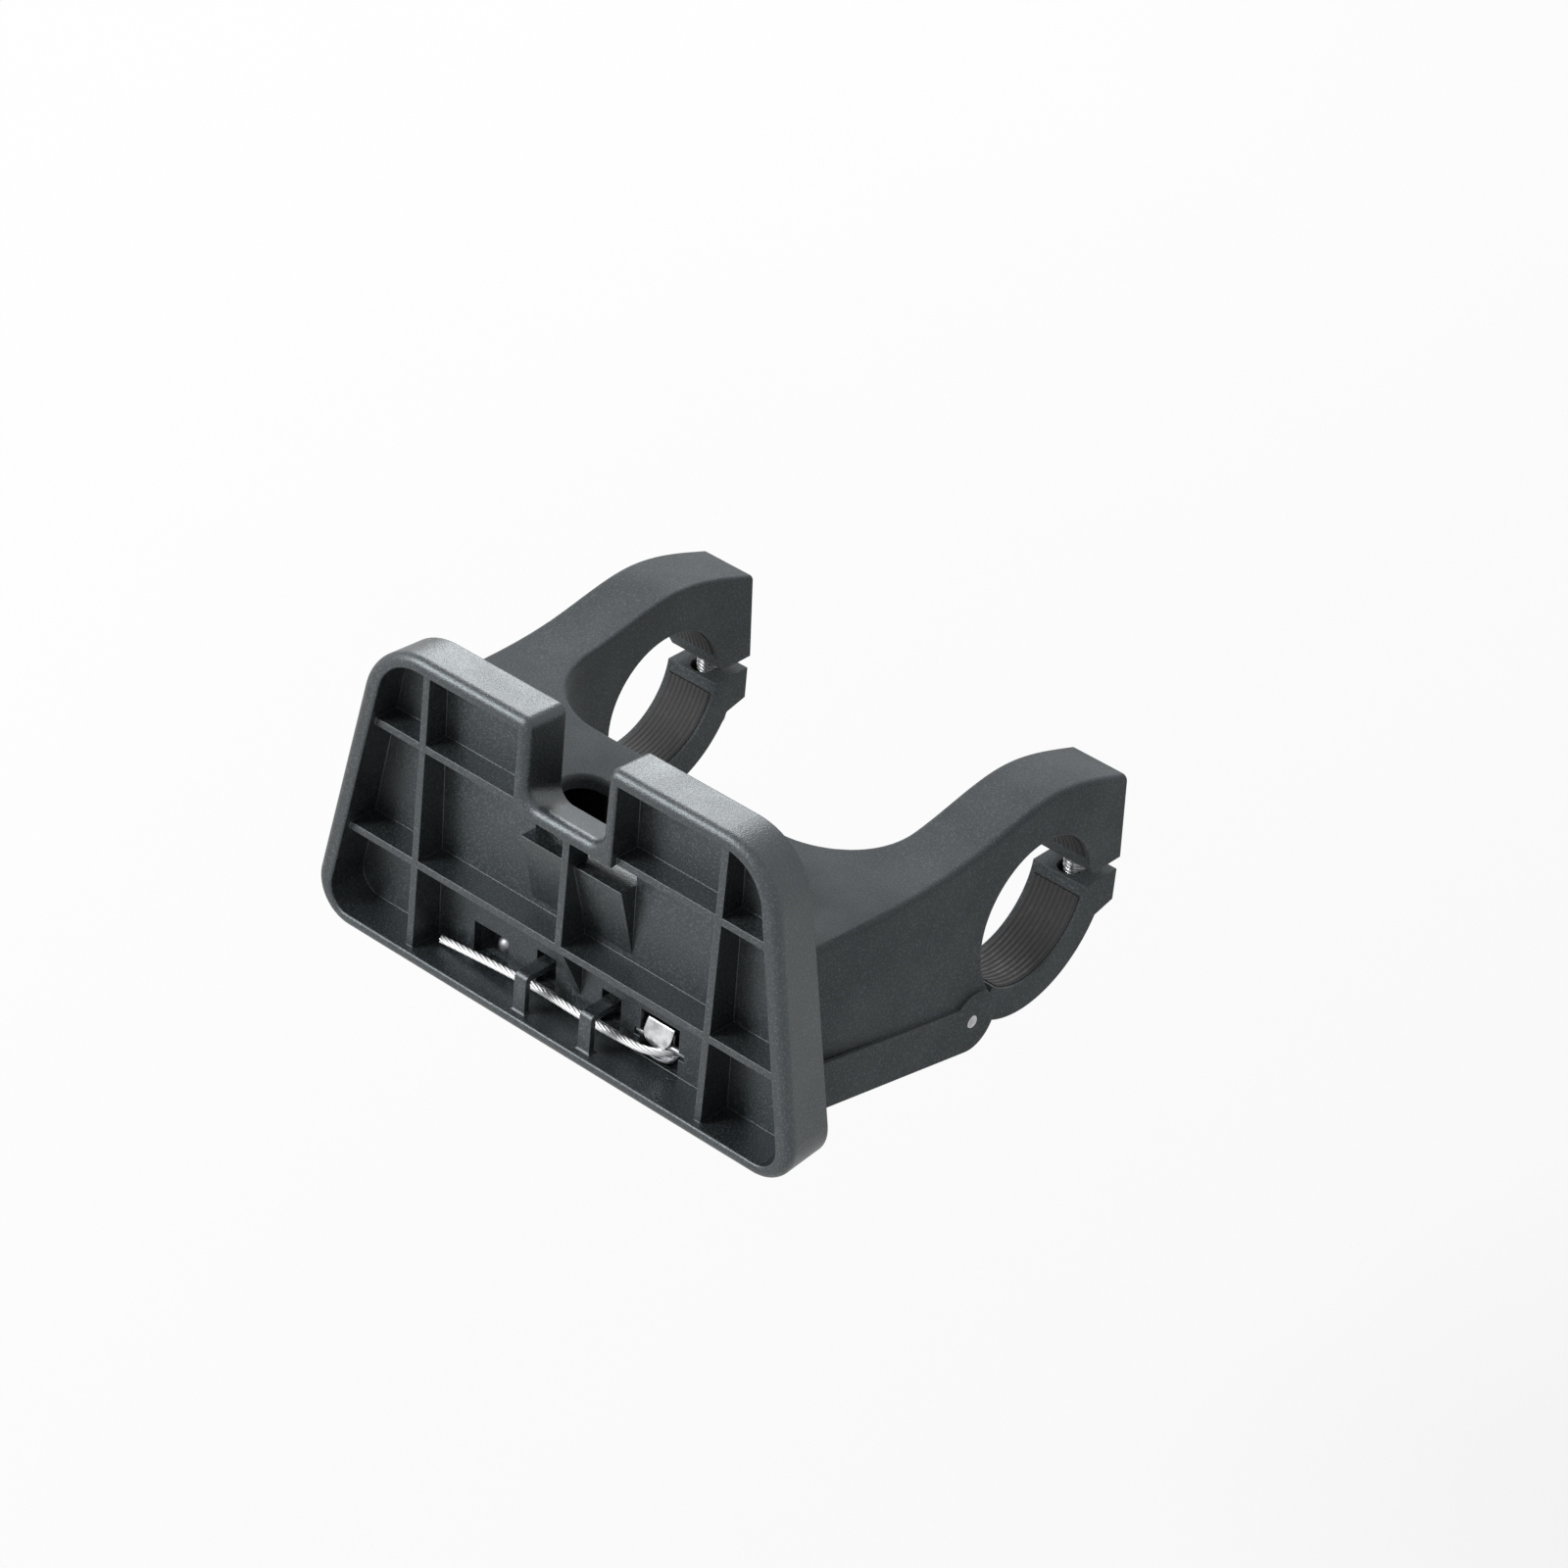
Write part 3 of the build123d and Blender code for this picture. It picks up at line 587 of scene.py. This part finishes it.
@dataclass
class SafetyCable:
    """The stranded steel cable, from its ball through the clip and the hooks to its cut end."""

    diameter: float = 0.0016
    strands: int = 6
    strand_share: float = 0.98
    strand_offset: float = 2.02
    lay: float = 0.0095
    length: float = 0.1721
    steps: int = 32
    route: list[Point] = field(
        default_factory=lambda: [
            (-0.0218, -0.0604, -0.0178),
            (-0.0218, -0.0500, -0.0181),
            (-0.0219, -0.0418, -0.0179),
            (-0.0230, -0.0320, -0.0181),
            (-0.0140, -0.0240, -0.0183),
            (0.0013, -0.0215, -0.0184),
            (0.0166, -0.0240, -0.0183),
            (0.0256, -0.0320, -0.0181),
            (0.0245, -0.0418, -0.0179),
            (0.0240, -0.0520, -0.0180),
            (0.0236, -0.0679, -0.0172),
            (0.0083, -0.0683, -0.0183),
            (-0.0083, -0.0683, -0.0178),
            (-0.0210, -0.0686, -0.0184),
            (-0.0332, -0.0685, -0.0197),
        ]
    )

    def strand(self, path: list[Vector], radius: float, offset: float, start: float) -> bpy.types.Mesh:
        """Makes one strand that winds round the cable's line.

        Args:
            path: points of the cable's line.
            radius: the strand's own radius.
            offset: distance of its middle from the cable's line.
            start: angle at which it starts, in radians.

        Returns:
            The strand's mesh.
        """
        curve = bpy.data.curves.new("strand", "CURVE")
        curve.dimensions = "3D"
        curve.bevel_depth = radius
        curve.bevel_resolution = 2
        curve.use_fill_caps = True
        spline = curve.splines.new("POLY")
        spline.points.add(len(path) - 1)
        across = Vector((0.0, 0.0, 1.0))
        run = 0.0
        for index, place in enumerate(path):
            ahead = path[min(index + 1, len(path) - 1)] - path[max(index - 1, 0)]
            ahead.normalize()
            across = (across - ahead * across.dot(ahead)).normalized()
            if index:
                run += (place - path[index - 1]).length
            angle = start + 2 * math.pi * run / self.lay
            away = across * math.cos(angle) + ahead.cross(across) * math.sin(angle)
            spline.points[index].co = (*(place + away * offset), 1.0)
        return curve_mesh(curve)

    def make(self, wire: bpy.types.Material) -> bpy.types.Object:
        """Args:
            wire: the strands' finish.

        Returns:
            The cable.
        """
        path = smooth_line("cable_line", self.route, self.steps)

        # The core and a strand on each side of it fill the cable's diameter
        core = self.diameter / 6
        turns = [2 * math.pi * index / self.strands for index in range(self.strands)]
        layers = [(core * self.strand_share, core * self.strand_offset, start) for start in turns]
        rope = bmesh.new()
        for radius, offset, start in [*layers, (core, 0.0, 0.0)]:
            strand = self.strand(path, radius, offset, start)
            rope.from_mesh(strand)
            bpy.data.meshes.remove(strand)
        bmesh.ops.recalc_face_normals(rope, faces=rope.faces)
        mesh = bpy.data.meshes.new("stranded_cable")
        rope.to_mesh(mesh)
        rope.free()
        mesh.shade_smooth()
        cable = new_piece("stranded_cable", mesh, "mount", wire)
        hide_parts("steel_cable")
        return cable


@dataclass
class FoldedClip:
    """The spring strip folded over its pin, with a lobe behind the cable and a lip under it.

    The bends are depths ahead of the plate's rear and heights above its foot, in millimetres.
    """

    left: float = 0.0162
    right: float = 0.0229
    gauge: float = 0.0005
    lobe_radius: float = 0.0030
    lip_radius: float = 0.0022
    columns: int = 24
    steps: int = 5
    weld: float = 0.00001
    sharp_angle: float = 1.0
    edge_round: float = 0.0001
    plate_rear: float = -0.0642
    plate_low: float = -0.0231
    bends: tuple[tuple[float, float], ...] = (
        (2.05, 5.9),
        (2.20, 6.6),
        (2.15, 7.6),
        (1.55, 8.9),
        (1.15, 9.9),
        (0.75, 10.9),
        (0.15, 10.6),
        (0.20, 9.4),
        (0.20, 6.8),
        (-0.60, 6.0),
        (-1.75, 5.4),
        (-1.80, 3.9),
        (-0.90, 3.2),
        (0.80, 3.15),
        (2.05, 3.2),
    )

    def inset(self, run: float, whole: float) -> float:
        """How far the strip's sides draw in at a place, to round its corners.

        Args:
            run: distance from the lobe's end along the strip.
            whole: the strip's length.

        Returns:
            The inset of each side.
        """
        for distance, radius in ((run, self.lobe_radius), (whole - run, self.lip_radius)):
            if distance < radius:
                return radius - math.sqrt(radius**2 - (radius - distance) ** 2)
        return 0.0

    def row(self, place: Vector) -> Span:
        """The key of a place's row, which all its points share."""
        return round(place.y, 8), round(place.z, 8)

    def bent(self) -> tuple[bmesh.types.BMesh, dict[Span, float]]:
        """Draws the strip's bends and sweeps them to its width.

        Returns:
            The strip's sheet from x = 0, and the share of the half width that each row keeps.
        """
        places = [(depth * MM, height * MM) for depth, height in self.bends]
        route = [(0.0, self.plate_rear - depth, self.plate_low + height) for depth, height in places]
        rows = smooth_line("clip_line", route, self.steps)
        whole = sum((after - before).length for before, after in zip(rows, rows[1:]))
        half = (self.right - self.left) / 2
        strip = bmesh.new()
        ridge = [strip.verts.new(place) for place in rows]
        edges = [strip.edges.new(pair) for pair in zip(ridge, ridge[1:])]
        shares = {}
        run = 0.0
        for index, place in enumerate(rows):
            run += (place - rows[index - 1]).length if index else 0.0
            shares[self.row(place)] = 1 - self.inset(run, whole) / half
        for _ in range(self.columns):
            grown = bmesh.ops.extrude_edge_only(strip, edges=edges)["geom"]
            moved = {part for part in grown if isinstance(part, bmesh.types.BMVert)}
            bmesh.ops.translate(strip, vec=(2 * half / self.columns, 0.0, 0.0), verts=list(moved))
            lines = [part for part in grown if isinstance(part, bmesh.types.BMEdge)]
            edges = [line for line in lines if moved.issuperset(line.verts)]
        return strip, shares

    def make(self, steel: bpy.types.Material) -> bpy.types.Object:
        """Bends the strip and gives it its thickness.

        Args:
            steel: the strip's finish.

        Returns:
            The clip.
        """
        strip, shares = self.bent()
        half = (self.right - self.left) / 2
        for vertex in strip.verts:
            share = shares[self.row(vertex.co)]
            vertex.co.x = self.left + half + (vertex.co.x - half) * share
        bmesh.ops.remove_doubles(strip, verts=strip.verts, dist=self.weld)
        bmesh.ops.solidify(strip, geom=strip.faces[:], thickness=self.gauge)
        bmesh.ops.recalc_face_normals(strip, faces=strip.faces)
        closed = [edge for edge in strip.edges if edge.is_manifold]
        sharp = [edge for edge in closed if edge.calc_face_angle() > self.sharp_angle]
        bmesh.ops.bevel(
            strip,
            geom=sharp,
            offset=self.edge_round,
            segments=2,
            profile=0.5,
            affect="EDGES",
            material=-1,
        )
        mesh = bpy.data.meshes.new("folded_clip")
        strip.to_mesh(mesh)
        strip.free()
        mesh.shade_smooth()
        clip = new_piece("folded_clip", mesh, "mount", steel)
        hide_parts("cable_clip")
        return clip


@dataclass
class SocketBolt:
    """A clamp bolt, head down, with its thread, knurled head and hexagon socket."""

    side: Side
    arm_x: float = 0.04735
    centre_y: float = 0.021
    tip: float = 0.015
    thread_end: float = -0.0088
    crest: float = 0.0025
    root: float = 0.00208
    pitch: float = 0.0008
    thread_shares: tuple[float, float, float] = (0.15, 0.5, 0.65)
    head_top: float = -0.010
    head_low: float = -0.015
    head_radius: float = 0.00425
    chamfer: float = 0.0004
    fine_chamfer: float = 0.0003
    socket: float = 0.0020
    socket_mouth: float = 0.0025
    socket_depth: float = 0.0026
    knurl_share: float = 0.965
    slack: float = 0.00001
    weld: float = 0.000001
    steps: int = 72

    def outline(self) -> list[tuple[float, float]]:
        """Radius and height of each point of the turned outline, from the tip to the socket's floor."""
        crest_end, root_start, root_end = (share * self.pitch for share in self.thread_shares)
        points = [(0.0, self.tip), (self.root - self.chamfer, self.tip)]
        height = self.tip - self.chamfer
        while height - self.pitch > self.thread_end:
            points.append((self.crest, height))
            points.append((self.crest, height - crest_end))
            points.append((self.root, height - root_start))
            points.append((self.root, height - root_end))
            height -= self.pitch
        socket_floor = self.head_low + self.socket_depth
        points += [
            (self.crest, height),
            (self.crest, self.head_top),
            (self.head_radius - self.fine_chamfer, self.head_top),
            (self.head_radius, self.head_top - self.fine_chamfer),
            (self.head_radius, self.head_low + self.chamfer),
            (self.head_radius - self.chamfer, self.head_low),
            (self.socket_mouth, self.head_low),
            (self.socket, self.head_low + self.fine_chamfer),
            (self.socket, socket_floor - self.fine_chamfer),
            (0.0, socket_floor),
        ]
        return points

    def shape(self, vertex: bmesh.types.BMVert) -> None:
        """Moves a turned point onto the knurl or the hexagon.

        Args:
            vertex: the point, round the origin's Z.
        """
        radius = math.hypot(vertex.co.x, vertex.co.y)
        angle = math.atan2(vertex.co.y, vertex.co.x)
        share = 1.0
        if radius > self.head_radius - self.slack:
            share = 1.0 if round(angle / (2 * math.pi) * self.steps) % 2 else self.knurl_share
        elif abs(radius - self.socket) < self.slack and vertex.co.z < self.head_top:
            sixth = math.pi / 3
            share = 1 / math.cos((angle + sixth / 2) % sixth - sixth / 2)
        vertex.co.x *= share
        vertex.co.y *= share

    def make(self, steel: bpy.types.Material) -> bpy.types.Object:
        """Turns the bolt.

        Args:
            steel: the bolt's finish.

        Returns:
            The bolt.
        """
        bolt = bmesh.new()
        line = [bolt.verts.new((radius, 0.0, height)) for radius, height in self.outline()]
        edges = [bolt.edges.new(pair) for pair in zip(line, line[1:])]
        bmesh.ops.spin(
            bolt,
            geom=line + edges,
            cent=(0.0, 0.0, 0.0),
            axis=(0.0, 0.0, 1.0),
            angle=2 * math.pi,
            steps=self.steps,
            use_merge=True,
        )
        bmesh.ops.remove_doubles(bolt, verts=bolt.verts, dist=self.weld)
        for vertex in bolt.verts:
            self.shape(vertex)
        bmesh.ops.recalc_face_normals(bolt, faces=bolt.faces)
        centre = (self.side.value * self.arm_x, self.centre_y, 0.0)
        bmesh.ops.translate(bolt, vec=centre, verts=bolt.verts)
        name = f"{self.side.word}_threaded_bolt"
        mesh = bpy.data.meshes.new(name)
        bolt.to_mesh(mesh)
        bolt.free()
        piece = new_piece(name, mesh, f"{self.side.word}_bolt", steel)
        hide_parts(f"{self.side.word}_clamp_bolt")
        return piece


@dataclass
class Moulding:
    """The one-piece plate, yoke and upper clamp halves, with the two hinged jaws."""

    nodes: tuple[str, ...] = ("mount_body", "left_clamp_jaw", "right_clamp_jaw")

    def dress(self, plastic: bpy.types.Material) -> None:
        """Gives each moulded node the plastic."""
        for node in self.nodes:
            dress(node, plastic)


@dataclass
class ClampFittings:
    """Pins, threaded bolts, washers, nuts and liners of both clamps."""

    steel_words: tuple[str, ...] = ("hinge_pin", "bolt_washer", "square_nut")
    rubber_words: tuple[str, ...] = ("upper_liner", "lower_liner")

    def dress(self, steel: bpy.types.Material, rubber: bpy.types.Material) -> None:
        """Gives each fitting its finish.

        Args:
            steel: finish of the metal pieces.
            rubber: finish of the liners.
        """
        for side in Side:
            for word in self.steel_words:
                dress(f"{side.word}_{word}", steel)
            for word in self.rubber_words:
                dress(f"{side.word}_{word}", rubber)
            log.info("%s", SocketBolt(side).make(steel).name)


@dataclass(frozen=True)
class Softbox:
    """A square soft lamp that faces the object."""

    name: str
    place: Point
    power: float
    size: float = 0.45
    target: Point = (0.0, -0.03, 0.0)

    def hang(self) -> None:
        """Hangs the lamp and turns it to its target."""
        light = bpy.data.lights.new(self.name, "AREA")
        light.shape = "SQUARE"
        light.size = self.size
        light.energy = self.power
        stand = bpy.data.objects.new(self.name, light)
        stand.location = self.place
        away = Vector(self.target) - Vector(self.place)
        stand.rotation_euler = away.to_track_quat("-Z", "Y").to_euler()
        bpy.context.scene.collection.objects.link(stand)


@dataclass
class Studio:
    """A pale floor, white surroundings and two soft lamps."""

    floor_z: float = -0.2
    floor_half: float = 4.0
    floor_pale: Colour = (0.93, 0.93, 0.93)
    floor_paler: Colour = (0.95, 0.95, 0.95)
    floor_grain: float = 0.05
    backdrop_share: float = 0.8
    fill: float = 0.22
    softboxes: tuple[Softbox, ...] = (
        Softbox("key_softbox", (-0.62, -0.84, 0.66), 13.0),
        Softbox("rear_softbox", (-0.66, 0.74, 0.62), 6.6),
    )

    def floor_finish(self) -> bpy.types.Material:
        """Pale matte floor that is nearly white to the eye and to gloss, and keeps a soft shadow."""
        board = NodeBoard.of_material("studio_floor")
        colour = board.mix(board.noise(self.floor_grain), self.floor_pale, self.floor_paler)
        matte = board.add("ShaderNodeBsdfDiffuse", {"Color": colour, "Roughness": 1.0})
        white = board.add("ShaderNodeEmission", {"Color": WHITE, "Strength": 1.0})
        rays = board.add("ShaderNodeLightPath", {})
        seen = board.combine("MAXIMUM", rays.outputs["Is Camera Ray"], rays.outputs["Is Glossy Ray"])
        share = board.span(seen, (0.0, 1.0), (0.0, self.backdrop_share))
        blend = board.add("ShaderNodeMixShader", {0: share, 1: matte.outputs[0], 2: white.outputs[0]})
        return board.finish(blend)

    def floor(self) -> None:
        """Lays the floor."""
        ground = bmesh.new()
        bmesh.ops.create_grid(ground, x_segments=1, y_segments=1, size=self.floor_half)
        bmesh.ops.translate(ground, vec=(0.0, 0.0, self.floor_z), verts=ground.verts)
        mesh = bpy.data.meshes.new("studio_floor")
        ground.to_mesh(mesh)
        ground.free()
        mesh.materials.append(self.floor_finish())
        piece = bpy.data.objects.new("studio_floor", mesh)
        bpy.context.scene.collection.objects.link(piece)

    def sky(self) -> None:
        """Makes the surroundings white to the eye and to gloss, and a soft fill as light."""
        world = bpy.data.worlds.new("studio")
        board = NodeBoard(world, "ShaderNodeOutputWorld")
        seen = board.add("ShaderNodeBackground", {0: WHITE, 1: 1.0})
        fill = board.add("ShaderNodeBackground", {0: WHITE, 1: self.fill})
        rays = board.add("ShaderNodeLightPath", {})
        gloss = board.combine("MAXIMUM", rays.outputs["Is Camera Ray"], rays.outputs["Is Glossy Ray"])
        share = board.combine("MAXIMUM", gloss, rays.outputs["Is Transmission Ray"])
        board.finish(board.add("ShaderNodeMixShader", {0: share, 1: fill.outputs[0], 2: seen.outputs[0]}))
        bpy.context.scene.world = world

    def make(self) -> None:
        """Sets up the floor, the sky and the lamps."""
        self.floor()
        self.sky()
        for softbox in self.softboxes:
            softbox.hang()


def main() -> None:
    """Builds the camera, the cable, the finishes and the studio."""
    logging.basicConfig(level=logging.INFO, format="%(message)s")
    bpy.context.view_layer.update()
    Viewpoint().make()
    log.info("camera")
    cable = SafetyCable().make(DrawnWire().make())
    log.info("%s", cable.name)
    Moulding().dress(MouldedPlastic().make())
    log.info("moulding")
    ClampFittings().dress(PlatedSteel().make(), LinerRubber().make())
    log.info("clamp fittings")
    log.info("%s", FoldedClip().make(PolishedSteel().make()).name)
    tumbled = BallSteel().make()
    for node in ("cable_ball_end", "clip_pin"):
        dress(node, tumbled)
    log.info("ball and clip pin")
    Studio().make()
    bpy.context.scene.view_settings.view_transform = "Standard"


if __name__ == "__main__":
    main()
